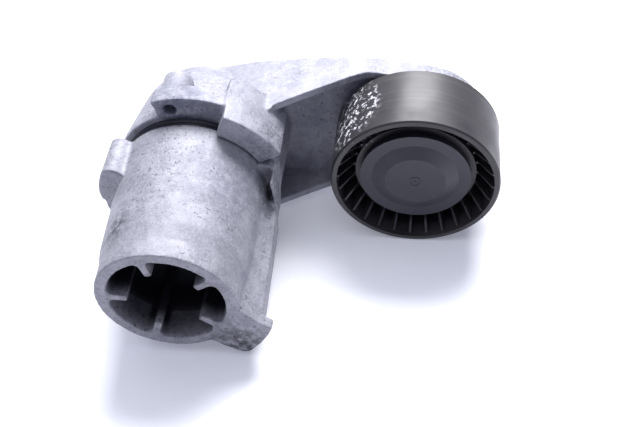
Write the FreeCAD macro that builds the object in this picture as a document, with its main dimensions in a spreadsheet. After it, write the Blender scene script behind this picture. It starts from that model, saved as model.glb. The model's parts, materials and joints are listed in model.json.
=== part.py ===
import FreeCAD, Part
import math
import os
from types import SimpleNamespace

import Sketcher

# Automatic belt tensioner with a flat idler pulley. Millimetres, +Z up.
# The origin is on the pivot axis, at the centre of the housing's front ring face.
# +Y runs along the pivot axis from that ring to the arm; +X runs towards the pulley.

doc = FreeCAD.newDocument("belt_tensioner")

DIMENSIONS = {
    # spring housing
    "ring_outer_radius": 30.1,
    "ring_inner_radius": 25.1,
    "barrel_step_y": 17.0,
    "barrel_step_radius": 31.8,
    "barrel_rear_radius": 34.5,
    "housing_length": 70.5,
    "bore_step_y": 15.6,
    "bore_radius": 24.4,
    "bore_fillet": 8.0,
    "floor_front_y": 32.0,
    "floor_rear_y": 38.0,
    "chamber_radius": 28.0,
    "shaft_boss_radius": 17.0,
    "shaft_boss_y": 44.0,
    "rib_tip_radius": 16.5,
    "rib_half_width": 1.65,
    "rib_root_fillet": 2.5,
    "rib_first_angle": 37.0,
    "rib_count": 5,
    "rib_recess": 0.4,
    "foot_radius": 45.6,
    "foot_thickness": 5.0,
    "web_reach": 39.6,
    "web_rear_y": 58.0,
    "ear_front_y": 65.5,
    "lug_front_y": 50.0,
    # pivot
    "shaft_radius": 12.0,
    "shaft_bore_radius": 6.5,
    "shaft_front_y": 30.0,
    "shaft_end_y": 120.6,
    "bushing_clearance": 0.05,
    "bushing_outer_radius": 15.0,
    "sleeve_radius": 18.5,
    "sleeve_front_y": 46.3,
    "retainer_radius": 20.5,
    "retainer_front_y": 115.8,
    "retainer_rear_y": 118.9,
    # torsion spring
    "spring_mean_radius": 23.4,
    "wire_radius": 2.5,
    "spring_pitch": 6.0,
    "spring_turns": 10.0,
    # arm
    "drum_front_y": 75.0,
    "drum_front_radius": 36.9,
    "drum_back_y": 116.0,
    "drum_cavity_radius": 28.8,
    "drum_wall_y": 109.0,
    "pin_tab_front_y": 74.5,
    "pin_tab_depth": 9.5,
    "pin_tab_radius": 45.5,
    "pin_tab_start": 70.0,
    "pin_tab_end": 113.0,
    "pin_hole_radius": 3.0,
    "pin_circle_radius": 39.3,
    "pin_angle": 103.5,
    "pin_boss_radius": 7.0,
    "pin_boss_back_y": 94.5,
    "stop_tab_front_y": 66.0,
    "stop_tab_start": 31.0,
    "stop_tab_inner": 35.4,
    "stop_tab_radius": 47.0,
    "collar_back_y": 93.0,
    "hub_side_radius": 38.5,
    "arm_web_front_y": 110.0,
    "arm_web_back_y": 116.0,
    "arm_back_y": 118.0,
    "arm_end_radius": 31.0,
    "hub_end_radius": 28.5,
    "flange_thickness": 4.0,
    "boss_front_y": 99.0,
    "boss_radius": 13.0,
    # pulley
    "pulley_x": 99.5,
    "pulley_z": 6.64,
    "pulley_radius": 38.0,
    "pulley_front_y": 71.25,
    "pulley_width": 34.0,
    "rim_thickness": 2.7,
    "fin_count": 28,
    "fin_thickness": 1.1,
    "hub_ring_radius": 27.3,
    "cap_radius": 25.0,
    "cap_front_y": 73.0,
    "cap_ring_y": 75.6,
    # ball bearing
    "bearing_bore_radius": 8.5,
    "bearing_outer_radius": 23.5,
    "bearing_front_y": 81.0,
    "bearing_width": 14.0,
    "ball_radius": 4.5,
    "ball_count": 8,
    "ball_circle_radius": 16.0,
    "raceway_radius": 4.65,
    "race_lip": 3.1,
    # pulley bolt
    "bolt_radius": 5.0,
    "bolt_head_corner_radius": 9.2,
    "bolt_head_front_y": 75.3,
    "washer_front_y": 79.5,
}


class Size:
    """A number together with the sheet formula that it comes from."""

    def __init__(self, value, formula):
        self.value = float(value)
        self.formula = formula

    def __add__(self, other):
        other = as_size(other)
        return Size(self.value + other.value, f"({self.formula} + {other.formula})")

    def __radd__(self, other):
        return as_size(other) + self

    def __sub__(self, other):
        other = as_size(other)
        return Size(self.value - other.value, f"({self.formula} - {other.formula})")

    def __rsub__(self, other):
        return as_size(other) - self

    def __mul__(self, other):
        other = as_size(other)
        return Size(self.value * other.value, f"({self.formula} * {other.formula})")

    def __rmul__(self, other):
        return as_size(other) * self

    def __truediv__(self, other):
        other = as_size(other)
        return Size(self.value / other.value, f"({self.formula} / {other.formula})")

    def __neg__(self):
        return Size(-self.value, f"(0 - {self.formula})")


def as_size(number):
    """Turn a plain number into a Size with a constant formula."""
    if isinstance(number, Size):
        return number
    return Size(number, f"({float(number):.6f})")


def cosine(angle):
    angle = as_size(angle)
    return Size(math.cos(math.radians(angle.value)), f"cos({angle.formula})")


def sine(angle):
    angle = as_size(angle)
    return Size(math.sin(math.radians(angle.value)), f"sin({angle.formula})")


def root(number):
    number = as_size(number)
    return Size(math.sqrt(number.value), f"sqrt({number.formula})")


def polar(radius, angle):
    """A point at a radius and at an angle in degrees from +X towards +Z."""
    return radius * cosine(angle), radius * sine(angle)


def radial(along, across, angle):
    """A point given along and across a spoke that stands at an angle."""
    return (
        along * cosine(angle) - across * sine(angle),
        along * sine(angle) + across * cosine(angle),
    )


def make_sheet():
    """Fill the spreadsheet and return its cells as Sizes."""
    sheet = doc.addObject("Spreadsheet::Sheet", "Dims")
    cells = {}
    for row, (name, value) in enumerate(DIMENSIONS.items(), start=1):
        sheet.set(f"A{row}", name)
        sheet.set(f"B{row}", str(value))
        sheet.setAlias(f"B{row}", name)
        cells[name] = Size(value, f"Dims.{name}")
    doc.recompute()
    return SimpleNamespace(**cells)


d = make_sheet()


def bind(target, prop, size):
    """Tie a property to the sheet."""
    target.setExpression(prop, as_size(size).formula)


# ---------------------------------------------------------------- sketches and bodies


def add_body(label):
    body = doc.addObject("PartDesign::Body", label)
    body.Label = label
    return body


def origin_feature(body, role):
    return next(item for item in body.Origin.OriginFeatures if item.Role == role)


def add_sketch(body, name, role, y_position=None):
    """A sketch on one of the body's own origin planes, moved along Y if asked."""
    sketch = body.newObject("Sketcher::SketchObject", name)
    sketch.AttachmentSupport = (origin_feature(body, role), "")
    sketch.MapMode = "FlatFace"
    if y_position is not None:
        bind(sketch, "AttachmentOffset.Base.z", -as_size(y_position))
    return sketch


def tie_point(sketch, geometry, corner, point, tag):
    """Hold one corner of an outline at its formulas."""
    for kind, letter, size in zip(("DistanceX", "DistanceY"), "uv", point):
        index = sketch.addConstraint(
            Sketcher.Constraint(kind, -1, 1, geometry, corner, as_size(size).value)
        )
        name = f"{letter}{tag}"
        sketch.renameConstraint(index, name)
        bind(sketch, f"Constraints.{name}", size)


def draw_outline(sketch, points, arcs=None):
    """A closed outline through the points, in order.

    arcs maps the number of a span to (centre, radius, counter_clockwise).
    """
    arcs = arcs or {}
    vectors = [FreeCAD.Vector(as_size(u).value, as_size(v).value, 0) for u, v in points]
    starts, ends = [], []
    for span, start in enumerate(vectors):
        end = vectors[(span + 1) % len(vectors)]
        if span not in arcs:
            sketch.addGeometry(Part.LineSegment(start, end), False)
            starts.append(1)
            ends.append(2)
            continue
        centre, radius, counter_clockwise = arcs[span]
        middle = FreeCAD.Vector(as_size(centre[0]).value, as_size(centre[1]).value, 0)
        first, last = (start, end) if counter_clockwise else (end, start)
        circle = Part.Circle(middle, FreeCAD.Vector(0, 0, 1), as_size(radius).value)
        a0 = math.atan2(first.y - middle.y, first.x - middle.x)
        a1 = math.atan2(last.y - middle.y, last.x - middle.x)
        sketch.addGeometry(Part.ArcOfCircle(circle, a0, a1), False)
        starts.append(1 if counter_clockwise else 2)
        ends.append(2 if counter_clockwise else 1)
        index = sketch.addConstraint(
            Sketcher.Constraint("Radius", span, as_size(radius).value)
        )
        sketch.renameConstraint(index, f"radius{span}")
        bind(sketch, f"Constraints.radius{span}", radius)
    for span in range(len(points)):
        following = (span + 1) % len(points)
        sketch.addConstraint(
            Sketcher.Constraint("Coincident", span, ends[span], following, starts[following])
        )
        tie_point(sketch, span, starts[span], points[span], span)


def draw_circle(sketch, centre, radius):
    middle = FreeCAD.Vector(as_size(centre[0]).value, as_size(centre[1]).value, 0)
    circle = Part.Circle(middle, FreeCAD.Vector(0, 0, 1), as_size(radius).value)
    sketch.addGeometry(circle, False)
    sketch.addConstraint(Sketcher.Constraint("Radius", 0, as_size(radius).value))
    sketch.renameConstraint(0, "radius")
    bind(sketch, "Constraints.radius", radius)
    tie_point(sketch, 0, 3, centre, 0)


def check_change(body, volume_before, grows, name):
    """Stop if a feature left the body as it was or changed it the wrong way."""
    change = body.Shape.Volume - volume_before
    if (change > 0.01) != grows or abs(change) < 0.01:
        raise RuntimeError(f"{name} changed the volume of {body.Label} by {change:.3f}")


def add_feature(body, kind, name, sketch):
    feature = body.newObject(kind, name)
    feature.Profile = sketch
    sketch.Visibility = False
    return feature


def revolve(body, name, points, arcs=None, cut=False):
    """Turn a (radius, y) outline round the body's Y axis, as solid or as groove."""
    before = body.Shape.Volume if not body.Shape.isNull() else 0.0
    sketch = add_sketch(body, f"{name}_sketch", "XY_Plane")
    draw_outline(sketch, points, arcs)
    kind = "PartDesign::Groove" if cut else "PartDesign::Revolution"
    feature = add_feature(body, kind, name, sketch)
    feature.ReferenceAxis = (sketch, ["V_Axis"])
    feature.Angle = 360.0
    body.Tip = feature
    doc.recompute()
    check_change(body, before, not cut, name)
    return feature


def prism(body, name, y_start, y_end, draw, cut=False):
    """Extrude a sketch of a constant-Y plane from y_start to y_end."""
    before = body.Shape.Volume if not body.Shape.isNull() else 0.0
    sketch = add_sketch(body, f"{name}_sketch", "XZ_Plane", y_start)
    draw(sketch)
    kind = "PartDesign::Pocket" if cut else "PartDesign::Pad"
    feature = add_feature(body, kind, name, sketch)
    bind(feature, "Length", as_size(y_end) - y_start)
    feature.Reversed = not cut
    body.Tip = feature
    doc.recompute()
    check_change(body, before, not cut, name)
    return feature


def sector(inner, outer, start, end):
    """Draw a ring sector about the pivot axis."""
    points = [polar(outer, start), polar(outer, end), polar(inner, end), polar(inner, start)]
    centre = (0.0, 0.0)
    arcs = {0: (centre, outer, True), 2: (centre, inner, False)}
    return lambda sketch: draw_outline(sketch, points, arcs)


def polygon(points, arcs=None):
    return lambda sketch: draw_outline(sketch, points, arcs)


def disc(centre, radius):
    return lambda sketch: draw_circle(sketch, centre, radius)


def polar_pattern(body, feature, name, count, grows=True):
    """Repeat a feature evenly round the body's Y axis."""
    before = body.Shape.Volume
    pattern = body.newObject("PartDesign::PolarPattern", name)
    pattern.Originals = [feature]
    pattern.Axis = (origin_feature(body, "Y_Axis"), [""])
    pattern.Angle = 360.0
    bind(pattern, "Occurrences", count)
    body.Tip = pattern
    doc.recompute()
    check_change(body, before, grows, name)
    return pattern


def turned_part(label, points, arcs=None, on_pulley=False):
    """A body made by turning one outline, about the pivot or the pulley axis."""
    body = add_body(label)
    revolve(body, f"{label}_turning", points, arcs)
    if on_pulley:
        move_to_pulley(body)
    return body


def move_to_pulley(target):
    bind(target, "Placement.Base.x", d.pulley_x)
    bind(target, "Placement.Base.z", d.pulley_z)
    doc.recompute()


def ring_part(label, inner, outer, y_start, y_end, on_pulley=False):
    """A plain ring: washer, bushing, seat or shield."""
    points = [(inner, y_start), (outer, y_start), (outer, y_end), (inner, y_end)]
    return turned_part(label, points, on_pulley=on_pulley)


# ---------------------------------------------------------------- spring housing


def add_rib(body):
    """One radial rib of the front bore, with filleted roots."""
    fillet_across = d.rib_half_width + d.rib_root_fillet
    bore_reach = d.ring_inner_radius - d.rib_root_fillet
    fillet_along = root(bore_reach * bore_reach - fillet_across * fillet_across)
    stretch = d.ring_inner_radius / bore_reach
    root_along = fillet_along * stretch
    root_across = fillet_across * stretch
    buried = root_along + 2.0

    def place(along, across):
        return radial(as_size(along), as_size(across), d.rib_first_angle)

    points = [
        place(d.rib_tip_radius, d.rib_half_width),
        place(d.rib_tip_radius, -d.rib_half_width),
        place(fillet_along, -d.rib_half_width),
        place(root_along, -root_across),
        place(buried, -root_across),
        place(buried, root_across),
        place(root_along, root_across),
        place(fillet_along, d.rib_half_width),
    ]
    arcs = {
        2: (place(fillet_along, -fillet_across), d.rib_root_fillet, False),
        6: (place(fillet_along, fillet_across), d.rib_root_fillet, False),
    }
    rib = prism(body, "rib", d.rib_recess, d.floor_front_y + 0.5, polygon(points, arcs))
    polar_pattern(body, rib, "ribs", d.rib_count)


def add_side_web(body):
    """The long web on the pulley side, from the foot back to the ear."""
    sections = (
        (0.0, [(27, -1), (31.4, -3.5), (35.5, -7.5), (d.web_reach, -10.5),
               (d.web_reach, -22), (33, -28), (20, -26)]),
        (d.web_rear_y, [(27, 10), (33.2, 7), (36.2, 2.5), (d.web_reach - 0.5, 0),
                        (d.web_reach - 0.5, -16), (34, -26), (22, -28)]),
    )
    before = body.Shape.Volume
    sketches = []
    for number, (y_position, points) in enumerate(sections):
        sketch = add_sketch(body, f"web_section_{number}", "XZ_Plane", y_position)
        draw_outline(sketch, points)
        sketches.append(sketch)
    doc.recompute()
    loft = add_feature(body, "PartDesign::AdditiveLoft", "side_web", sketches[0])
    loft.Sections = [sketches[1]]
    loft.Ruled = True
    body.Tip = loft
    doc.recompute()
    check_change(body, before, True, "side_web")


def make_spring_housing():
    body = add_body("spring_housing")
    fillet_start_y = d.floor_front_y - d.bore_fillet
    fillet_end_radius = d.bore_radius - d.bore_fillet
    barrel = [
        (d.ring_outer_radius, 0.0),
        (d.ring_outer_radius + 0.2, 9.0),
        (d.barrel_step_radius, d.barrel_step_y),
        (d.barrel_rear_radius, d.housing_length),
        (d.chamber_radius, d.housing_length),
        (d.chamber_radius, d.floor_rear_y),
        (d.shaft_boss_radius, d.floor_rear_y),
        (d.shaft_boss_radius, d.shaft_boss_y),
        (d.shaft_radius, d.shaft_boss_y),
        (d.shaft_radius, d.floor_front_y),
        (fillet_end_radius, d.floor_front_y),
        (d.bore_radius, fillet_start_y),
        (d.bore_radius, d.bore_step_y),
        (d.ring_inner_radius, d.bore_step_y),
        (d.ring_inner_radius, 0.0),
    ]
    fillet = ((fillet_end_radius, fillet_start_y), d.bore_fillet, False)
    revolve(body, "barrel", barrel, {10: fillet})
    add_rib(body)
    add_side_web(body)
    foot = [
        (27, -3), (30.8, -5), polar(d.foot_radius, -16), polar(d.foot_radius, -43),
        (29.6, -31.4), (22.8, -28.2), (17, -24.5),
    ]
    foot_arc = {2: ((0.0, 0.0), d.foot_radius, False)}
    prism(body, "foot", 0.0, d.foot_thickness, polygon(foot, foot_arc))
    ear = [
        (24, 16.6), (30.4, 17.5), (34.6, 17.6), (37.3, 15.6), (38.4, 10), (39, 0),
        (38.8, -10), (36, -20), (24, -25),
    ]
    prism(body, "ear", d.ear_front_y, d.housing_length, polygon(ear))
    rim = [
        (37.2, 16.4), (38.4, 10), (39, 0), (38.8, -10), (37.4, -10), (37.6, 0), (37, 10),
        (36, 15.8),
    ]
    prism(body, "ear_rim", d.web_rear_y - 2, d.ear_front_y + 1, polygon(rim))
    lug = [
        (-24, 19), (-29.8, 23.2), (-31.9, 23.9), (-34.1, 23.4), (-36.1, 22.2), (-37.7, 18.3),
        (-39, 13.5), (-39.3, 8.5), (-38.8, 5), (-37.3, 3.8), (-36.9, 0), (-35.5, -5),
        (-24, -8),
    ]
    prism(body, "lug", d.lug_front_y, d.housing_length, polygon(lug))
    chamber = [
        (d.shaft_boss_radius, d.floor_rear_y),
        (d.chamber_radius, d.floor_rear_y),
        (d.chamber_radius, d.housing_length + 1),
        (d.shaft_boss_radius, d.housing_length + 1),
    ]
    revolve(body, "chamber_clear", chamber, cut=True)
    return body


# ---------------------------------------------------------------- pivot and spring


def make_pivot_shaft():
    peen = 1.4
    points = [
        (d.shaft_bore_radius, d.shaft_front_y),
        (d.shaft_radius - 0.8, d.shaft_front_y),
        (d.shaft_radius, d.shaft_front_y + 0.8),
        (d.shaft_radius, d.retainer_rear_y),
        (d.shaft_radius + peen + 0.6, d.retainer_rear_y),
        (d.shaft_radius + peen, d.shaft_end_y),
        (d.shaft_bore_radius, d.shaft_end_y),
    ]
    return turned_part("pivot_shaft", points)


def make_torsion_spring():
    """A round-wire coil spring about the pivot axis."""
    helix = doc.addObject("Part::Helix", "spring_path")
    bind(helix, "Pitch", d.spring_pitch)
    bind(helix, "Height", d.spring_pitch * d.spring_turns)
    bind(helix, "Radius", d.spring_mean_radius)
    section = doc.addObject("Part::Circle", "spring_wire")
    bind(section, "Radius", d.wire_radius)
    bind(section, "Placement.Base.x", d.spring_mean_radius)
    section.Placement.Rotation = FreeCAD.Rotation(FreeCAD.Vector(1, 0, 0), 90)
    doc.recompute()
    spring = doc.addObject("Part::Sweep", "torsion_spring")
    spring.Label = "torsion_spring"
    spring.Sections = [section]
    spring.Spine = (helix, ["Edge1"])
    spring.Solid = True
    spring.Frenet = True
    spring.Placement.Rotation = FreeCAD.Rotation(FreeCAD.Vector(1, 0, 0), -90)
    bind(spring, "Placement.Base.y", d.floor_rear_y + 2.6 + d.wire_radius)
    doc.recompute()
    turn_length = 2 * math.pi * d.spring_mean_radius.value
    wire_length = math.hypot(turn_length, d.spring_pitch.value) * d.spring_turns.value
    expected = wire_length * math.pi * d.wire_radius.value ** 2
    if abs(spring.Shape.Volume - expected) > 0.01 * expected:
        raise RuntimeError(f"spring volume {spring.Shape.Volume:.0f}, expected {expected:.0f}")
    return spring


def make_damping_sleeve():
    """A friction sleeve split by one slot, so that the spring can press it outwards."""
    inner = d.spring_mean_radius + d.wire_radius + 0.6
    outer = d.drum_cavity_radius - 0.3
    body = ring_part("damping_sleeve", inner, outer, d.drum_front_y + 2, d.drum_wall_y - 4)
    slot = [(inner - 2, -1.5), (outer + 2, -1.5), (outer + 2, 1.5), (inner - 2, 1.5)]
    prism(body, "slot", d.drum_front_y, d.drum_wall_y, polygon(slot), cut=True)
    return body


def make_pivot_group():
    front = ring_part(
        "front_thrust_washer", d.shaft_radius + 0.3, d.sleeve_radius - 0.5,
        d.shaft_boss_y, d.sleeve_front_y - 0.3,
    )
    rear = ring_part(
        "rear_thrust_washer", d.shaft_radius + 0.3, d.retainer_radius,
        d.retainer_front_y - 1.5, d.retainer_front_y,
    )
    retainer = ring_part(
        "retaining_washer", d.shaft_radius, d.retainer_radius,
        d.retainer_front_y, d.retainer_rear_y,
    )
    seat = ring_part(
        "spring_seat", d.sleeve_radius + 0.9, d.chamber_radius - 0.3,
        d.floor_rear_y, d.floor_rear_y + 2.5,
    )
    cup = ring_part(
        "spring_cup", d.sleeve_radius, d.drum_cavity_radius - 0.4,
        d.drum_wall_y - 3, d.drum_wall_y,
    )
    bushing_inner = d.shaft_radius + d.bushing_clearance
    bushing_length = 20.0
    bushing_front = ring_part(
        "bushing_front", bushing_inner, d.bushing_outer_radius,
        d.sleeve_front_y, d.sleeve_front_y + bushing_length,
    )
    hub_face_y = d.drum_back_y - 2
    bushing_rear = ring_part(
        "bushing_rear", bushing_inner, d.bushing_outer_radius,
        hub_face_y - bushing_length, hub_face_y,
    )
    sealing = turned_part("sealing_ring", [
        (d.chamber_radius + 0.4, d.housing_length),
        (d.barrel_rear_radius - 0.6, d.housing_length),
        (d.barrel_rear_radius - 0.6, d.housing_length + 1.5),
        (d.barrel_rear_radius - 1.2, d.housing_length + 2.1),
        (d.chamber_radius + 0.4, d.housing_length + 2.1),
    ])
    slide = turned_part("slide_ring", [
        (d.drum_cavity_radius + 0.4, d.drum_front_y - 2.1),
        (d.barrel_rear_radius - 1.0, d.drum_front_y - 2.1),
        (d.barrel_rear_radius - 0.4, d.drum_front_y - 1.5),
        (d.barrel_rear_radius - 0.4, d.drum_front_y),
        (d.drum_cavity_radius + 0.4, d.drum_front_y),
    ])
    return [front, rear, retainer, seat, cup, bushing_front, bushing_rear, sealing, slide]


# ---------------------------------------------------------------- tensioner arm


def arm_outline(inset):
    """The arm seen along the pivot axis, drawn a given distance inside its edge."""
    inset = as_size(inset)
    end_radius = d.arm_end_radius - inset
    end_centre = (d.pulley_x, d.pulley_z)

    def on_end(angle):
        across, up = polar(end_radius, angle)
        return d.pulley_x + across, d.pulley_z + up

    hub_radius = d.hub_end_radius - inset
    points = [
        on_end(-96),
        on_end(78),
        (80, 39.6 - inset),
        (66, 39.6 - inset),
        (45, 36.8 - inset),
        (23, 33.2 - inset),
        polar(hub_radius, 80),
        polar(hub_radius, -88),
        (20, -32.7 + inset),
    ]
    arcs = {0: (end_centre, end_radius, True), 6: ((0.0, 0.0), hub_radius, True)}
    return polygon(points, arcs)


def add_flange_slope(body):
    """Let the flanges' front edge fall back from the hub to the pulley."""
    before = body.Shape.Volume
    sketch = add_sketch(body, "slope_sketch", "XY_Plane")
    flat_y = d.pulley_front_y + d.pulley_width + 1.75
    draw_outline(sketch, [(34, 86), (34, 60), (140, 60), (140, flat_y), (74, flat_y)])
    cut = add_feature(body, "PartDesign::Pocket", "slope", sketch)
    cut.Length = 200.0
    cut.Midplane = True
    body.Tip = cut
    doc.recompute()
    check_change(body, before, False, "slope")


def make_tensioner_arm():
    body = add_body("tensioner_arm")
    prism(body, "arm_plate", 84.0, d.arm_back_y, arm_outline(0.0))
    prism(body, "channel", 80.0, d.arm_web_front_y, arm_outline(d.flange_thickness), cut=True)
    prism(body, "back_recess", d.arm_web_back_y, d.arm_back_y, arm_outline(d.flange_thickness), cut=True)
    add_flange_slope(body)
    drum = [
        (0.0, d.sleeve_front_y),
        (d.sleeve_radius, d.sleeve_front_y),
        (d.sleeve_radius, d.drum_front_y),
        (d.drum_front_radius, d.drum_front_y),
        (d.drum_front_radius - 0.1, d.drum_front_y + 5),
        (d.drum_front_radius - 1.2, d.drum_front_y + 12),
        (d.drum_front_radius - 3.1, d.drum_front_y + 25),
        (d.drum_front_radius - 4.2, d.drum_front_y + 31),
        (d.drum_front_radius - 5.7, d.drum_back_y - 4.5),
        (d.drum_front_radius - 9.9, d.drum_back_y),
        (0.0, d.drum_back_y),
    ]
    revolve(body, "drum", drum)
    prism(body, "hub_side", d.drum_front_y + 1, d.arm_web_front_y + 2,
          sector(30.0, d.hub_side_radius, -35.0, 35.0))
    prism(body, "collar", d.drum_front_y, d.collar_back_y,
          sector(31.0, d.stop_tab_radius - 0.5, d.stop_tab_start, d.pin_tab_start + 1))
    prism(body, "stop_tab", d.stop_tab_front_y, d.drum_front_y + 1,
          sector(d.stop_tab_inner, d.stop_tab_radius, d.stop_tab_start, d.pin_tab_start))
    prism(body, "pin_tab", d.pin_tab_front_y, d.pin_tab_front_y + d.pin_tab_depth,
          sector(35.2, d.pin_tab_radius, d.pin_tab_start, d.pin_tab_end))
    pin_axis = polar(d.pin_circle_radius, d.pin_angle)
    boss_axis = polar(d.pin_circle_radius - 0.8, d.pin_angle)
    prism(body, "pin_boss", d.drum_front_y, d.pin_boss_back_y, disc(boss_axis, d.pin_boss_radius))
    pulley_axis = (d.pulley_x, d.pulley_z)
    spigot_radius = d.bearing_bore_radius - 0.01
    prism(body, "pulley_boss", d.boss_front_y, d.arm_back_y, disc(pulley_axis, d.boss_radius))
    prism(body, "spigot", d.bearing_front_y + 0.5, d.boss_front_y, disc(pulley_axis, spigot_radius))
    prism(body, "bolt_hole", d.bearing_front_y, d.arm_back_y, disc(pulley_axis, d.bolt_radius), cut=True)
    prism(body, "pin_hole", d.pin_tab_front_y - 1, d.pin_boss_back_y + 5,
          disc(pin_axis, d.pin_hole_radius), cut=True)
    cavity = [
        (d.sleeve_radius, d.drum_front_y - 1),
        (d.drum_cavity_radius, d.drum_front_y - 1),
        (d.drum_cavity_radius, d.drum_wall_y),
        (d.sleeve_radius, d.drum_wall_y),
    ]
    revolve(body, "cavity", cavity, cut=True)
    recess_radius = d.retainer_radius + 1.5
    bore = [
        (0.0, d.sleeve_front_y - 1),
        (d.bushing_outer_radius, d.sleeve_front_y - 1),
        (d.bushing_outer_radius, d.drum_back_y - 2),
        (recess_radius, d.drum_back_y - 2),
        (recess_radius, d.arm_back_y + 1),
        (0.0, d.arm_back_y + 1),
    ]
    revolve(body, "bore", bore, cut=True)
    return body


# ---------------------------------------------------------------- pulley


def add_fins(body, name, points):
    """Thin radial fins, all round the pulley."""
    before = body.Shape.Volume
    sketch = add_sketch(body, f"{name}_sketch", "XY_Plane")
    draw_outline(sketch, points)
    fin = add_feature(body, "PartDesign::Pad", name, sketch)
    bind(fin, "Length", d.fin_thickness)
    fin.Midplane = True
    body.Tip = fin
    doc.recompute()
    check_change(body, before, True, name)
    polar_pattern(body, fin, f"{name}_ring", d.fin_count)


def make_pulley_wheel():
    body = add_body("pulley_wheel")
    back_y = d.pulley_front_y + d.pulley_width
    web_front_y = d.pulley_front_y + 14.75
    web_back_y = web_front_y + 4
    bearing_back_y = d.bearing_front_y + d.bearing_width
    hub_back_y = bearing_back_y + 2
    rim_inner = d.pulley_radius - d.rim_thickness
    chamfer = 0.7
    profile = [
        (d.cap_radius - 0.5, d.bearing_front_y - 1.5),
        (d.hub_ring_radius, d.bearing_front_y - 1.5),
        (d.hub_ring_radius, web_front_y),
        (rim_inner - 0.4, web_front_y),
        (rim_inner, d.pulley_front_y),
        (d.pulley_radius - chamfer, d.pulley_front_y),
        (d.pulley_radius, d.pulley_front_y + chamfer),
        (d.pulley_radius, back_y - chamfer),
        (d.pulley_radius - chamfer, back_y),
        (rim_inner, back_y),
        (rim_inner - 0.4, web_back_y),
        (d.hub_ring_radius, web_back_y),
        (d.hub_ring_radius, hub_back_y),
        (d.bearing_outer_radius - 0.9, hub_back_y),
        (d.bearing_outer_radius - 0.9, bearing_back_y),
        (d.bearing_outer_radius, bearing_back_y),
        (d.bearing_outer_radius, d.bearing_front_y),
        (d.cap_radius - 0.5, d.bearing_front_y),
    ]
    revolve(body, "wheel", profile)
    inner = d.hub_ring_radius - 0.3
    outer = rim_inner + 0.5
    fin_low_y = d.pulley_front_y + 10.5
    fin_high_y = d.pulley_front_y + 1.6
    front = [
        (inner, fin_low_y), (inner + 1.2, fin_low_y), (rim_inner - 0.8, fin_high_y),
        (outer, fin_high_y), (outer, web_front_y + 1), (inner, web_front_y + 1),
    ]
    add_fins(body, "front_fin", front)
    mirror_y = d.pulley_front_y + back_y
    rear = [
        (inner, mirror_y - fin_low_y), (inner + 1.2, mirror_y - fin_low_y),
        (rim_inner - 0.8, mirror_y - fin_high_y), (outer, mirror_y - fin_high_y),
        (outer, web_back_y - 1), (inner, web_back_y - 1),
    ]
    add_fins(body, "rear_fin", rear)
    move_to_pulley(body)
    return body


def make_dust_cap():
    wall = 1.4
    skirt_radius = d.cap_radius - 0.55
    points = [
        (0.0, d.cap_front_y),
        (13.6, d.cap_front_y),
        (19.5, d.cap_ring_y),
        (d.cap_radius, d.cap_ring_y),
        (d.cap_radius, d.cap_ring_y + wall),
        (skirt_radius, d.cap_ring_y + wall),
        (skirt_radius, d.bearing_front_y - 0.1),
        (skirt_radius - wall, d.bearing_front_y - 0.1),
        (skirt_radius - wall, d.cap_ring_y + wall),
        (19.1, d.cap_ring_y + wall),
        (13.2, d.cap_front_y + wall),
        (0.0, d.cap_front_y + wall),
    ]
    return turned_part("dust_cap", points, on_pulley=True)


# ---------------------------------------------------------------- ball bearing


def race_profile(flat_radius, lip_radius):
    """A race: a plain ring with a raceway groove round the ball circle."""
    back_y = d.bearing_front_y + d.bearing_width
    middle_y = d.bearing_front_y + d.bearing_width / 2
    half = root(d.raceway_radius * d.raceway_radius - d.race_lip * d.race_lip)
    points = [
        (flat_radius, d.bearing_front_y),
        (lip_radius, d.bearing_front_y),
        (lip_radius, middle_y - half),
        (lip_radius, middle_y + half),
        (lip_radius, back_y),
        (flat_radius, back_y),
    ]
    groove_turns_left = lip_radius.value > d.ball_circle_radius.value
    centre = (d.ball_circle_radius, middle_y)
    return points, {2: (centre, d.raceway_radius, groove_turns_left)}


def make_races():
    inner_lip = d.ball_circle_radius - d.race_lip
    outer_lip = d.ball_circle_radius + d.race_lip
    inner = turned_part(
        "bearing_inner_race", *race_profile(d.bearing_bore_radius, inner_lip), on_pulley=True,
    )
    outer = turned_part(
        "bearing_outer_race", *race_profile(d.bearing_outer_radius, outer_lip), on_pulley=True,
    )
    seals = []
    starts = {
        "bearing_seal_front": d.bearing_front_y + 0.4,
        "bearing_seal_rear": d.bearing_front_y + d.bearing_width - 1.2,
    }
    for label, start in starts.items():
        seals.append(ring_part(label, inner_lip + 0.3, outer_lip, start, start + 0.8, on_pulley=True))
    return [inner, outer] + seals


def make_balls():
    """One sphere for each ball, evenly round the pulley axis."""
    spheres = []
    for number in range(int(d.ball_count.value)):
        sphere = doc.addObject("Part::Sphere", f"ball_{number}")
        bind(sphere, "Radius", d.ball_radius)
        angle = as_size(number * 360) / d.ball_count
        across, up = polar(d.ball_circle_radius, angle)
        bind(sphere, "Placement.Base.x", d.pulley_x + across)
        bind(sphere, "Placement.Base.y", d.bearing_front_y + d.bearing_width / 2)
        bind(sphere, "Placement.Base.z", d.pulley_z + up)
        spheres.append(sphere)
    group = doc.addObject("Part::Compound", "bearing_balls")
    group.Label = "bearing_balls"
    group.Links = spheres
    doc.recompute()
    return group


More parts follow.
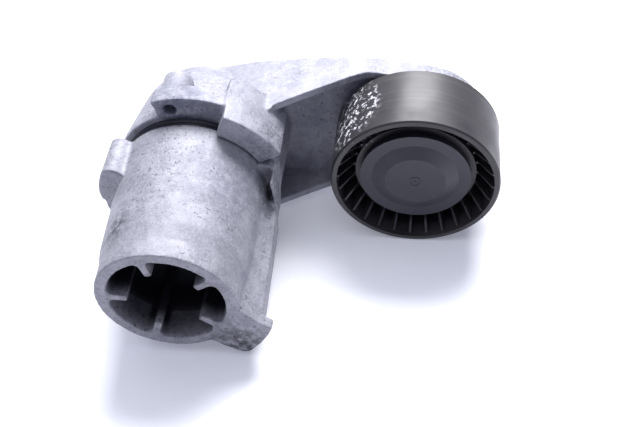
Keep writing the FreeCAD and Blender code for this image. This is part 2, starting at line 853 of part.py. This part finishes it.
def make_cage():
    """A band between the races with a round pocket for each ball."""
    body = add_body("bearing_cage")
    middle_y = d.bearing_front_y + d.bearing_width / 2
    half_width = 5.2
    half_thickness = 1.0
    band = [
        (d.ball_circle_radius - half_thickness, middle_y - half_width),
        (d.ball_circle_radius + half_thickness, middle_y - half_width),
        (d.ball_circle_radius + half_thickness, middle_y + half_width),
        (d.ball_circle_radius - half_thickness, middle_y + half_width),
    ]
    revolve(body, "band", band)
    before = body.Shape.Volume
    sketch = add_sketch(body, "pocket_sketch", "YZ_Plane")
    draw_circle(sketch, (middle_y, 0.0), d.ball_radius + 0.1)
    pocket = add_feature(body, "PartDesign::Pocket", "ball_pocket", sketch)
    pocket.Length = 2 * d.ball_circle_radius.value
    pocket.Reversed = True
    body.Tip = pocket
    doc.recompute()
    check_change(body, before, False, "ball_pocket")
    polar_pattern(body, pocket, "ball_pockets", d.ball_count, grows=False)
    move_to_pulley(body)
    return body


# ---------------------------------------------------------------- pulley fasteners


def along_pulley_axis(solid, y_start):
    """Stand a cylinder or prism on the pulley axis, running towards +Y."""
    solid.Placement.Rotation = FreeCAD.Rotation(FreeCAD.Vector(1, 0, 0), -90)
    bind(solid, "Placement.Base.x", d.pulley_x)
    bind(solid, "Placement.Base.y", y_start)
    bind(solid, "Placement.Base.z", d.pulley_z)


def make_pulley_bolt():
    """A hexagon-head bolt that clamps the inner race onto the arm."""
    head = doc.addObject("Part::Prism", "bolt_head")
    head.Polygon = 6
    bind(head, "Circumradius", d.bolt_head_corner_radius)
    bind(head, "Height", d.washer_front_y - d.bolt_head_front_y)
    along_pulley_axis(head, d.bolt_head_front_y)
    shank = doc.addObject("Part::Cylinder", "bolt_shank")
    bind(shank, "Radius", d.bolt_radius)
    bind(shank, "Height", d.arm_web_back_y - d.washer_front_y)
    along_pulley_axis(shank, d.washer_front_y)
    bolt = doc.addObject("Part::Fuse", "pulley_bolt")
    bolt.Base = head
    bolt.Tool = shank
    bolt.Label = "pulley_bolt"
    doc.recompute()
    return bolt


def make_pulley_fasteners():
    bearing_back_y = d.bearing_front_y + d.bearing_width
    inner_lip = d.ball_circle_radius - d.race_lip
    washer = ring_part(
        "bolt_washer", d.bolt_radius + 0.1, inner_lip - 0.9, d.washer_front_y,
        d.bearing_front_y, on_pulley=True,
    )
    spacer = ring_part(
        "bearing_spacer", d.bearing_bore_radius, inner_lip - 0.3, bearing_back_y,
        d.boss_front_y, on_pulley=True,
    )
    shield = ring_part(
        "rear_dust_shield", inner_lip - 0.3, d.hub_ring_radius - 1.8, bearing_back_y + 2.6,
        bearing_back_y + 3.8, on_pulley=True,
    )
    return [make_pulley_bolt(), washer, spacer, shield]


# ---------------------------------------------------------------- build, check and export

nodes = [make_spring_housing(), make_pivot_shaft(), make_torsion_spring(), make_damping_sleeve()]
nodes += make_pivot_group()
nodes += [make_tensioner_arm(), make_pulley_wheel(), make_dust_cap()]
nodes += make_races()
nodes += [make_balls(), make_cage()]
nodes += make_pulley_fasteners()
doc.recompute()

for item in doc.Objects:
    if {"Invalid", "Error"} & set(item.State):
        raise RuntimeError(f"{item.Label} failed: {item.State}")
for node in nodes:
    if node.Shape.isNull() or not node.Shape.isValid():
        raise RuntimeError(f"{node.Label} has no valid shape")

os.makedirs("parts", exist_ok=True)
for node in nodes:
    node.Shape.exportStep(f"parts/{node.Label}.step")
    print(node.Label, len(node.Shape.Solids), round(node.Shape.Volume, 1))
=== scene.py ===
import json
import math
from collections import namedtuple

import bmesh
import bpy
from mathutils import Matrix, Vector, noise


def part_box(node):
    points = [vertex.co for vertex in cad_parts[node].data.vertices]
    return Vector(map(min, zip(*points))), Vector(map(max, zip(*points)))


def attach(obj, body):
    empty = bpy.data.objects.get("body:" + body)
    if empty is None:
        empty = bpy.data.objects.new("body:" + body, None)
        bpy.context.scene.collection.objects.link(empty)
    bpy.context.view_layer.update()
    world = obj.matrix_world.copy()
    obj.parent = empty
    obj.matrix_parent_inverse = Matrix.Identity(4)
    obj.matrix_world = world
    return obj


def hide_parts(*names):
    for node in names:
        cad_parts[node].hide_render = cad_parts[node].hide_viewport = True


# Looks for the belt tensioner with its flat idler pulley. Metres, same frame as the CAD:
# +Y runs along the pivot axis from the open ring to the arm, +X towards the pulley, +Z up.

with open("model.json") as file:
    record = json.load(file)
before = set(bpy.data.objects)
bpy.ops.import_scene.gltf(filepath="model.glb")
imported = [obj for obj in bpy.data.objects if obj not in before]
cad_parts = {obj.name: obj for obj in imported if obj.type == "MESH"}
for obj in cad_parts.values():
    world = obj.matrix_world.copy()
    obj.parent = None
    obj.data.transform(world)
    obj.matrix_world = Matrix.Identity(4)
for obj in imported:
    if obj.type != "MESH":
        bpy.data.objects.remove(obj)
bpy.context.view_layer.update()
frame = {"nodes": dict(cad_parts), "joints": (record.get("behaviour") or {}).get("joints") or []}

MM = 0.001
joints = {joint["name"]: joint for joint in frame["joints"]}
PULLEY_AXIS = (joints["pulley_spin"]["pos_m"][0], joints["pulley_spin"]["pos_m"][2])

# ------------------------------------------------------------------ helpers


def new_object(name, mesh):
    piece = bpy.data.objects.new(name, mesh)
    bpy.context.scene.collection.objects.link(piece)
    return piece


def finish_mesh(piece, material, sharp_angle=35):
    """Smooth shading that keeps real edges, and the piece's material."""
    mesh = piece.data
    mesh.materials.clear()
    mesh.materials.append(material)
    mesh.shade_smooth()
    mesh.set_sharp_from_angle(angle=math.radians(sharp_angle))
    return piece


def apply_modifiers(piece):
    """Bake the piece's modifiers into its mesh."""
    graph = bpy.context.evaluated_depsgraph_get()
    graph.update()
    mesh = bpy.data.meshes.new_from_object(piece.evaluated_get(graph))
    piece.modifiers.clear()
    piece.data = mesh


def rounded_outline(points, steps=5):
    """A closed outline with rounded corners. Each point is (radius, y, corner radius) in mm."""
    result = []
    count = len(points)
    for index, (u, v, corner) in enumerate(points):
        here = Vector((u, v))
        before = Vector(points[index - 1][:2])
        after = Vector(points[(index + 1) % count][:2])
        back, ahead = before - here, after - here
        turn = back.angle(ahead, math.pi)
        if corner <= 0 or turn > math.radians(178):
            result.append((u, v))
            continue
        reach = min(corner / math.tan(turn / 2), 0.48 * back.length, 0.48 * ahead.length)
        radius = reach * math.tan(turn / 2)
        middle = here + (back.normalized() + ahead.normalized()).normalized() * (
            radius / math.sin(turn / 2)
        )
        first = here + back.normalized() * reach - middle
        last = here + ahead.normalized() * reach - middle
        start = math.atan2(first.y, first.x)
        sweep = math.atan2(last.y, last.x) - start
        sweep = (sweep + math.pi) % (2 * math.pi) - math.pi
        for step in range(steps + 1):
            angle = start + sweep * step / steps
            result.append((middle.x + radius * math.cos(angle), middle.y + radius * math.sin(angle)))
    return result


def lathe(name, points, axis, material, segments=96):
    """Turn an outline of (radius, y, corner) in mm about an axis parallel to Y."""
    outline = rounded_outline(points)
    mesh = bpy.data.meshes.new(name)
    shape = bmesh.new()
    rings = []
    for radius, along in outline:
        if radius < 1e-6:
            rings.append([shape.verts.new((axis[0], along * MM, axis[1]))])
            continue
        ring = []
        for segment in range(segments):
            angle = 2 * math.pi * segment / segments
            ring.append(shape.verts.new((
                axis[0] + radius * MM * math.cos(angle),
                along * MM,
                axis[1] + radius * MM * math.sin(angle),
            )))
        rings.append(ring)
    for index, ring in enumerate(rings):
        following = rings[(index + 1) % len(rings)]
        if len(ring) == 1 and len(following) == 1:
            continue
        for segment in range(segments):
            after = (segment + 1) % segments
            if len(ring) == 1:
                corners = [ring[0], following[segment], following[after]]
            elif len(following) == 1:
                corners = [ring[segment], following[0], ring[after]]
            else:
                corners = [ring[segment], following[segment], following[after], ring[after]]
            shape.faces.new(corners)
    bmesh.ops.recalc_face_normals(shape, faces=shape.faces)
    shape.to_mesh(mesh)
    shape.free()
    return finish_mesh(new_object(name, mesh), material)


# ------------------------------------------------------------------ materials


class Nodes:
    """A short way to wire a material's nodes."""

    def __init__(self, name):
        self.material = bpy.data.materials.new(name)
        self.material.use_nodes = True
        self.tree = self.material.node_tree
        self.shader = self.tree.nodes["Principled BSDF"]
        self.place = self.add("ShaderNodeTexCoord").outputs["Object"]

    def add(self, kind, **settings):
        node = self.tree.nodes.new(kind)
        for key, value in settings.items():
            setattr(node, key, value)
        return node

    def link(self, source, target):
        self.tree.links.new(source, target)

    def noise(self, scale, detail=4.0, roughness=0.55, place=None):
        """Noise whose scale is in features per metre."""
        node = self.add("ShaderNodeTexNoise")
        node.inputs["Scale"].default_value = scale
        node.inputs["Detail"].default_value = detail
        node.inputs["Roughness"].default_value = roughness
        self.link(place or self.place, node.inputs["Vector"])
        return node.outputs["Fac"]

    def step(self, value, low, high):
        """0 below low, 1 above high, smooth between; low may be above high."""
        node = self.add("ShaderNodeMapRange", interpolation_type="SMOOTHSTEP")
        node.inputs["From Min"].default_value = low
        node.inputs["From Max"].default_value = high
        self.link(value, node.inputs["Value"])
        return node.outputs["Result"]

    def maths(self, operation, first, second=None):
        node = self.add("ShaderNodeMath", operation=operation)
        for socket, value in zip(node.inputs, (first, second)):
            if value is None:
                continue
            if isinstance(value, (int, float)):
                socket.default_value = value
            else:
                self.link(value, socket)
        return node.outputs[0]

    def mix(self, share, first, second):
        """Mix two colours by a share socket; each colour is a socket or an RGB triple."""
        node = self.add("ShaderNodeMix", data_type="RGBA")
        self.link(share, node.inputs["Factor"])
        for socket, value in ((node.inputs[6], first), (node.inputs[7], second)):
            if isinstance(value, tuple):
                socket.default_value = (*value, 1.0)
            else:
                self.link(value, socket)
        return node.outputs[2]

    def near(self, centre, radius, edge):
        """1 within a distance (metres) of a point, fading out over its outer share."""
        offset = self.add("ShaderNodeVectorMath", operation="DISTANCE")
        self.link(self.place, offset.inputs[0])
        offset.inputs[1].default_value = centre
        return self.step(offset.outputs["Value"], radius, radius * (1 - edge))

    def coordinate(self, axis):
        split = self.add("ShaderNodeSeparateXYZ")
        self.link(self.place, split.inputs[0])
        return split.outputs[axis]

    def from_pivot(self):
        """Distance from the pivot axis, in metres."""
        x, z = self.coordinate("X"), self.coordinate("Z")
        squares = self.maths("ADD", self.maths("MULTIPLY", x, x), self.maths("MULTIPLY", z, z))
        return self.maths("SQRT", squares)

    def colour(self, socket):
        self.link(socket, self.shader.inputs["Base Color"])

    def rough(self, value, low, high):
        node = self.add("ShaderNodeMapRange")
        node.inputs["To Min"].default_value = low
        node.inputs["To Max"].default_value = high
        self.link(value, node.inputs["Value"])
        self.link(node.outputs["Result"], self.shader.inputs["Roughness"])

    def bump(self, height, distance, strength=1.0):
        node = self.add("ShaderNodeBump")
        node.inputs["Distance"].default_value = distance
        node.inputs["Strength"].default_value = strength
        self.link(height, node.inputs["Height"])
        self.link(node.outputs["Normal"], self.shader.inputs["Normal"])

    def metal(self, value):
        self.shader.inputs["Metallic"].default_value = value


def cast_aluminium(name, light, dark, stains_and_shades, bore=None):
    """Die-cast aluminium: mottled skin, dark pits, real stains and painted shade round given points,
    painted shade deep in the bore.
    """
    n = Nodes(name)
    n.metal(0.30)
    clouds = n.step(n.noise(110, 7, 0.72), 0.34, 0.66)
    base = n.mix(clouds, dark, light)
    grain = n.noise(900, 3, 0.7)
    base = n.mix(n.maths("MULTIPLY", n.step(grain, 0.45, 0.75), 0.35), base, (0.62, 0.62, 0.70))
    pit_holes = n.step(n.noise(700, 3, 0.65), 0.44, 0.34)
    pit_areas = n.step(n.noise(45, 3), 0.38, 0.60)
    pits = n.maths("MULTIPLY", pit_holes, pit_areas)
    base = n.mix(n.maths("MULTIPLY", pits, 0.75), base, (0.07, 0.07, 0.09))
    # Real stains and patches of painted shade alike are darkened in round their points.
    for stain_and_shade in stains_and_shades:
        broken = n.step(n.noise(260, 5, 0.7), 0.36, 0.60)
        patch = n.maths("MULTIPLY", n.near(stain_and_shade.centre, stain_and_shade.radius, 0.9), broken)
        base = n.mix(n.maths("MULTIPLY", patch, stain_and_shade.share), base, stain_and_shade.colour)
    # Painted shade: the bore darkens to near black the deeper it goes into the ring.
    if bore:
        radius, depth = bore
        inside = n.step(n.from_pivot(), radius, radius - 0.4 * MM)
        deep = n.step(n.coordinate("Y"), 0.3 * MM, depth)
        base = n.mix(n.maths("MULTIPLY", inside, deep), base, (0.012, 0.012, 0.018))
    n.colour(base)
    n.rough(grain, 0.50, 0.78)
    height = n.maths("ADD", n.noise(1300, 4, 0.7), n.maths("MULTIPLY", n.noise(260, 3), 1.5))
    n.bump(height, 0.18 * MM, 0.8)
    return n.material


def moulded_plastic(name, colour, pale, roughness):
    """Black moulded plastic with a faint grain and a thin uneven haze."""
    n = Nodes(name)
    haze = n.step(n.noise(45, 5), 0.35, 0.75)
    base = n.mix(haze, colour, pale)
    specks = n.step(n.noise(1500, 2, 0.6), 0.62, 0.74)
    base = n.mix(n.maths("MULTIPLY", specks, 0.35), base, pale)
    n.colour(base)
    n.rough(haze, roughness, roughness + 0.12)
    n.bump(n.noise(2400, 3), 0.03 * MM, 0.6)
    return n.material


def turned_steel(name, colour, roughness=0.35):
    """Machined steel with fine turning marks across Y and light oxide spots."""
    n = Nodes(name)
    n.metal(1.0)
    stretch = n.add("ShaderNodeMapping")
    stretch.inputs["Scale"].default_value = (0.15, 6.0, 0.15)
    n.link(n.place, stretch.inputs["Vector"])
    marks = n.noise(900, 3, 0.6, stretch.outputs["Vector"])
    dull = tuple(0.62 * c for c in colour)
    base = n.mix(n.step(n.noise(140, 4), 0.45, 0.7), colour, dull)
    base = n.mix(n.maths("MULTIPLY", marks, 0.3), base, dull)
    n.colour(base)
    n.rough(marks, roughness - 0.08, roughness + 0.15)
    n.bump(marks, 0.03 * MM, 0.5)
    return n.material


StainAndShade = namedtuple("StainAndShade", "centre radius colour share")

# Each entry darkens a casting round a point. The foot grime and the barrel smudge are real stains; the
# barrel shade, the front ring and the stop tab and pin tab entries are painted shade.
FOOT_GRIME = StainAndShade((0.030, 0.000, -0.026), 0.022, (0.035, 0.03, 0.035), 0.90)
BARREL_SMUDGE = StainAndShade((-0.021, 0.019, 0.023), 0.010, (0.04, 0.04, 0.06), 0.90)
BARREL_SHADE = StainAndShade((0.020, 0.045, 0.026), 0.030, (0.17, 0.17, 0.22), 0.65)
# A darker patch on the housing's ear round this point.
EAR_DARKENING = StainAndShade((0.034, 0.062, 0.004), 0.018, (0.06, 0.06, 0.08), 0.80)
# Painted shade: darkens the front ring face and the front of the barrel round the pivot axis.
RING_PAINTED_SHADE = StainAndShade((0.000, 0.000, 0.000), 0.040, (0.13, 0.115, 0.13), 0.75)
STOP_TAB_SHADE = StainAndShade((0.036, 0.070, 0.020), 0.024, (0.10, 0.10, 0.13), 0.75)
PIN_TAB_SHADE = StainAndShade((-0.004, 0.074, 0.040), 0.022, (0.11, 0.12, 0.18), 0.70)
BORE_RADIUS = 25.3 * MM
# Depth over which painted shade darkens the bore.
BORE_SHADE_DEPTH = 9 * MM

housing_cast = cast_aluminium(
    "housing_cast",
    light=(0.36, 0.36, 0.40),
    dark=(0.25, 0.25, 0.285),
    stains_and_shades=[FOOT_GRIME, BARREL_SMUDGE, BARREL_SHADE, EAR_DARKENING, RING_PAINTED_SHADE],
    bore=(BORE_RADIUS, BORE_SHADE_DEPTH),
)
# The arm carries only painted shade, on its stop tab and its pin tab.
arm_cast = cast_aluminium(
    "arm_cast",
    light=(0.38, 0.38, 0.425),
    dark=(0.27, 0.27, 0.31),
    stains_and_shades=[STOP_TAB_SHADE, PIN_TAB_SHADE],
)
ring_plastic = moulded_plastic("ring_plastic", (0.012, 0.012, 0.020), (0.035, 0.034, 0.045), 0.45)
cap_plastic = moulded_plastic("cap_plastic", (0.028, 0.028, 0.040), (0.045, 0.043, 0.058), 0.45)
friction_plastic = moulded_plastic("friction_plastic", (0.15, 0.13, 0.11), (0.24, 0.21, 0.18), 0.55)
seal_rubber = moulded_plastic("seal_rubber", (0.025, 0.025, 0.028), (0.05, 0.05, 0.052), 0.6)
shaft_steel = turned_steel("shaft_steel", (0.50, 0.50, 0.53))
race_steel = turned_steel("race_steel", (0.62, 0.62, 0.64), 0.22)
ball_steel = turned_steel("ball_steel", (0.75, 0.75, 0.77), 0.14)
zinc_steel = turned_steel("zinc_steel", (0.52, 0.52, 0.50), 0.40)
spring_steel = turned_steel("spring_steel", (0.12, 0.12, 0.13), 0.45)
bushing_bronze = turned_steel("bushing_bronze", (0.55, 0.38, 0.20), 0.42)


def pulley_plastic_material():
    """Glass-filled black plastic: polished by the belt, with running lines and paint scuffs."""
    n = Nodes("pulley_plastic")
    along = n.coordinate("Y")
    haze = n.step(n.noise(30, 4), 0.3, 0.75)
    base = n.mix(haze, (0.026, 0.024, 0.028), (0.042, 0.038, 0.042))
    lines = n.add("ShaderNodeTexNoise", noise_dimensions="1D")
    lines.inputs["Scale"].default_value = 420
    lines.inputs["Detail"].default_value = 3
    n.link(along, lines.inputs["W"])
    worn_lines = n.maths("MULTIPLY", n.step(lines.outputs["Fac"], 0.5, 0.72), 0.35)
    base = n.mix(worn_lines, base, (0.065, 0.06, 0.062))
    scuffs = n.step(n.noise(420, 6, 0.72), 0.53, 0.60)
    centre_x, centre_z = PULLEY_AXIS
    scuff_centre = (centre_x - 34 * MM, 90 * MM, centre_z + 24 * MM)
    patch = n.near(scuff_centre, 26 * MM, 0.75)
    scuff_area = n.step(n.maths("MULTIPLY", patch, n.noise(60, 2)), 0.10, 0.45)
    splash = n.maths("MULTIPLY", scuffs, scuff_area)
    base = n.mix(splash, base, (0.85, 0.86, 0.90))
    n.colour(base)
    n.rough(n.maths("ADD", haze, splash), 0.30, 0.62)
    n.bump(n.noise(1800, 3), 0.02 * MM, 0.5)
    return n.material


pulley_plastic = pulley_plastic_material()

CAD_FINISHES = {
    shaft_steel: ["pivot_shaft", "retaining_washer"],
    race_steel: ["bearing_inner_race", "bearing_outer_race", "bearing_cage"],
    ball_steel: ["bearing_balls"],
    zinc_steel: ["pulley_bolt", "bolt_washer", "bearing_spacer", "rear_dust_shield"],
    spring_steel: ["torsion_spring"],
    bushing_bronze: ["bushing_front", "bushing_rear"],
    friction_plastic: [
        "damping_sleeve", "front_thrust_washer", "rear_thrust_washer", "spring_seat", "spring_cup",
    ],
    seal_rubber: ["bearing_seal_front", "bearing_seal_rear"],
    ring_plastic: ["sealing_ring", "slide_ring"],
    cap_plastic: ["dust_cap"],
    pulley_plastic: ["pulley_wheel"],
}
for finish, names in CAD_FINISHES.items():
    for name in names:
        node = frame["nodes"][name]
        node.data.materials.clear()
        node.data.materials.append(finish)

# ------------------------------------------------------------------ castings


SKIN_VOXEL = 0.6 * MM
CORNER_CLOSING = 0.7 * MM
SMOOTHING_STEPS = 4
WAVINESS = 0.05 * MM


def cast_skin(node, name, material):
    """A casting's skin: the CAD solid with filleted corners and a slightly uneven surface."""
    piece = new_object(name, frame["nodes"][node].data.copy())
    steps = (
        ("REMESH", SKIN_VOXEL),
        ("DISPLACE", CORNER_CLOSING),
        ("REMESH", SKIN_VOXEL),
        ("DISPLACE", -CORNER_CLOSING),
    )
    for index, (kind, value) in enumerate(steps):
        modifier = piece.modifiers.new(f"step_{index}", kind)
        if kind == "REMESH":
            modifier.mode = "VOXEL"
            modifier.voxel_size = value
        else:
            modifier.mid_level = 0.0
            modifier.strength = value
    soft = piece.modifiers.new("soften", "SMOOTH")
    soft.factor = 0.5
    soft.iterations = SMOOTHING_STEPS
    apply_modifiers(piece)
    low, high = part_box(node)
    skin = [(vertex.co.copy(), vertex.normal.copy()) for vertex in piece.data.vertices]
    moved = []
    for point, outward in skin:
        swell = noise.noise(point * 90) + 0.5 * noise.noise(point * 320)
        point = point + outward * (swell * WAVINESS)
        moved.extend(max(low[axis], min(high[axis], point[axis])) for axis in range(3))
    piece.data.vertices.foreach_set("co", moved)
    piece.data.update()
    finish_mesh(piece, material, 180)
    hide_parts(node)
    return piece


CASTINGS = [
    ("spring_housing", "housing_casting", "housing", housing_cast, "housing_cast"),
    ("tensioner_arm", "arm_casting", "arm", arm_cast, "arm_cast"),
]
for cad_node, piece_name, body, finish, slot_name in CASTINGS:
    casting = cast_skin(cad_node, piece_name, finish)
    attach(casting, body)

# ------------------------------------------------------------------ the cap's gate mark


GATE_ROOT = 0.3
GATE_HEIGHT = 0.22
GATE_ROUNDING = 0.08


def add_gate_mark():
    """The moulding gate in the middle of the dust cap: a fine raised ring round a dot."""
    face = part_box("dust_cap")[0].y / MM
    root = face + GATE_ROOT
    crest = face - GATE_HEIGHT
    for name, inner, outer in (("gate_ring", 2.3, 2.8), ("gate_dot", 0.0, 0.55)):
        points = [
            (inner, root, 0), (inner, crest, GATE_ROUNDING),
            (outer, crest, GATE_ROUNDING), (outer, root, 0),
        ]
        mark = lathe(name, points, PULLEY_AXIS, cap_plastic)
        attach(mark, "pulley")


add_gate_mark()

# ------------------------------------------------------------------ stage, light and camera


def surface(name, colour, roughness, glow):
    """The table: pale, matt, and glowing a little so that its shadows stay light."""
    n = Nodes(name)
    n.shader.inputs["Emission Color"].default_value = (0.86, 0.88, 1.0, 1.0)
    n.shader.inputs["Emission Strength"].default_value = glow
    n.colour(n.mix(n.noise(3, 2), colour, tuple(0.98 * c for c in colour)))
    n.shader.inputs["Roughness"].default_value = roughness
    return n.material


DRUM_CONTACT_BACK = 5 * MM
FOOT_CORNER_X = 29.6 * MM
TABLE_SIZE = 3.0


def add_floor():
    """A pale table that touches the pulley, the arm's drum and the housing's foot."""
    pulley_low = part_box("pulley_wheel")[0]
    arm_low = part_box("tensioner_arm")[0]
    housing_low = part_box("spring_housing")[0]
    on_pulley = Vector((PULLEY_AXIS[0], pulley_low.y, pulley_low.z))
    under_drum = Vector((0.0, pulley_low.y + DRUM_CONTACT_BACK, arm_low.z))
    on_foot = Vector((FOOT_CORNER_X, housing_low.y, housing_low.z))
    normal = (on_pulley - under_drum).cross(on_foot - under_drum)
    if normal.z < 0:
        normal.negate()
    mesh = bpy.data.meshes.new("floor")
    shape = bmesh.new()
    bmesh.ops.create_grid(shape, x_segments=2, y_segments=2, size=TABLE_SIZE)
    shape.to_mesh(mesh)
    shape.free()
    mesh.materials.append(surface("table", (0.90, 0.90, 0.93), 0.6, glow=0.22))
    floor = new_object("floor", mesh)
    lean = Vector((0, 0, 1)).rotation_difference(normal).to_matrix().to_4x4()
    floor.matrix_world = Matrix.Translation(under_drum) @ lean


LIGHT_TARGET = Vector((0.05, 0.05, 0.0))


def add_area_light(name, position, size, power, colour):
    """A soft rectangular light that faces the middle of the part."""
    data = bpy.data.lights.new(name, "AREA")
    data.shape = "RECTANGLE"
    data.size, data.size_y = size
    data.energy = power
    data.color = colour
    light = bpy.data.objects.new(name, data)
    bpy.context.scene.collection.objects.link(light)
    light.location = position
    light.rotation_euler = (LIGHT_TARGET - light.location).to_track_quat("-Z", "Y").to_euler()


def add_world():
    """A dim bluish surround, which leaves the faces towards the camera darker."""
    world = bpy.data.worlds.new("soft_world")
    world.use_nodes = True
    background = world.node_tree.nodes["Background"]
    background.inputs["Color"].default_value = (0.62, 0.68, 1.0, 1.0)
    background.inputs["Strength"].default_value = 0.26
    bpy.context.scene.world = world


CAMERA_PLACE = (0.088412, -0.239657, 0.32961)
CAMERA_AZIMUTH = math.radians(-5.814)
CAMERA_TILT = math.radians(48.009)
CAMERA_LENS = 55.998


def add_camera():
    """The camera looks down on the open ring and the pulley's front, from the engine side."""
    level = math.cos(CAMERA_TILT)
    forward = Vector((
        math.sin(CAMERA_AZIMUTH) * level, math.cos(CAMERA_AZIMUTH) * level, -math.sin(CAMERA_TILT),
    ))
    right = Vector((math.cos(CAMERA_AZIMUTH), -math.sin(CAMERA_AZIMUTH), 0.0))
    up = right.cross(forward)
    data = bpy.data.cameras.new("camera")
    data.sensor_width = 36.0
    data.lens = CAMERA_LENS
    data.clip_start = 0.01
    camera = bpy.data.objects.new("camera", data)
    bpy.context.scene.collection.objects.link(camera)
    turn = Matrix((right, up, -forward)).transposed().to_4x4()
    camera.matrix_world = Matrix.Translation(CAMERA_PLACE) @ turn
    bpy.context.scene.camera = camera


add_floor()
add_area_light("key", position=(0.10, 0.75, 0.95), size=(0.8, 0.5), power=30, colour=(0.97, 0.97, 1.0))
add_area_light("top", position=(-0.25, 0.05, 1.1), size=(1.2, 1.2), power=7, colour=(0.93, 0.95, 1.0))
add_world()
add_camera()
bpy.context.scene.view_settings.view_transform = "Standard"
